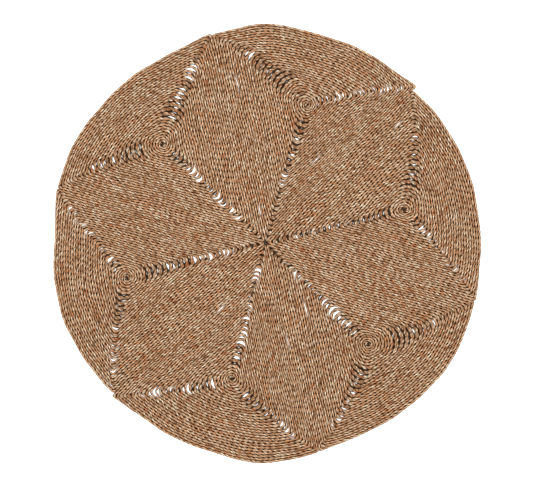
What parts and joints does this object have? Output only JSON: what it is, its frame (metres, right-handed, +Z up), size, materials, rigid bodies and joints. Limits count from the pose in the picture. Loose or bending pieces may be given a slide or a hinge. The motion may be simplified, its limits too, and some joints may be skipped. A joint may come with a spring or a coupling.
{
  "type": "round rug",
  "caption": "Flat round floor rug of twisted seagrass rope, wound in sector panels that are sewn edge to edge, with see-through gaps where the turns bend.",
  "frame": {"origin": "middle of the rug's round outline, on the floor under it", "axes": "+Z up out of the side that is walked on, +Y towards the top of the picture, +X to its right"},
  "size_m": [1.1894, 1.2227, 0.0064],
  "materials": {
    "seagrass_rope": "matte dry twisted grass"
  },
  "bodies": {
    "root": {"panel_1": "seagrass_rope", "panel_2": "seagrass_rope", "panel_3": "seagrass_rope", "panel_4": "seagrass_rope", "panel_5": "seagrass_rope", "panel_6": "seagrass_rope"}
  },
  "joints": []
}
